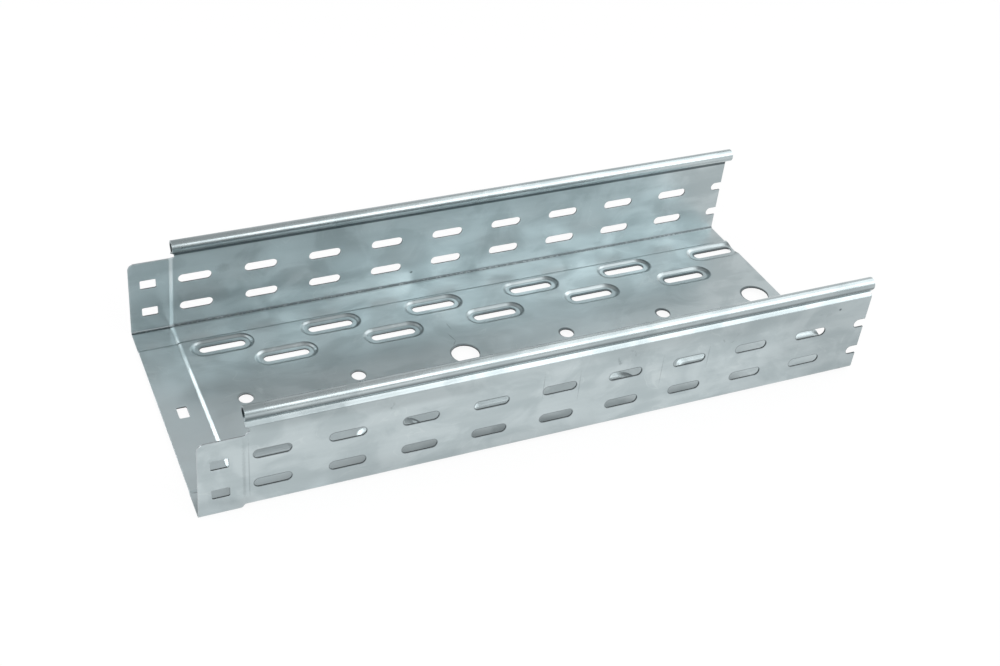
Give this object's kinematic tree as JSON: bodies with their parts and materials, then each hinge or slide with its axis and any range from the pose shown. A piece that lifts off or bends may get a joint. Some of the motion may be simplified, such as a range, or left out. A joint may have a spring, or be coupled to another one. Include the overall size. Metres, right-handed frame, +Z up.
{
  "type": "perforated cable tray",
  "caption": "Straight U-shaped perforated sheet-metal cable tray with rolled top edges, slotted walls, pressed slot pockets in the base and a stepped coupling end.",
  "frame": {"origin": "half way along the tray, on its centre line, level with the underside of the coupling end, its lowest face", "axes": "+X along the tray away from the coupling end, +Y across it, +Z up out of the open channel"},
  "size_m": [0.496, 0.2026, 0.0796],
  "materials": {
    "zinc": "galvanised, satin, with faint rolling streaks"
  },
  "bodies": {
    "root": {"tray": "zinc"}
  },
  "joints": []
}
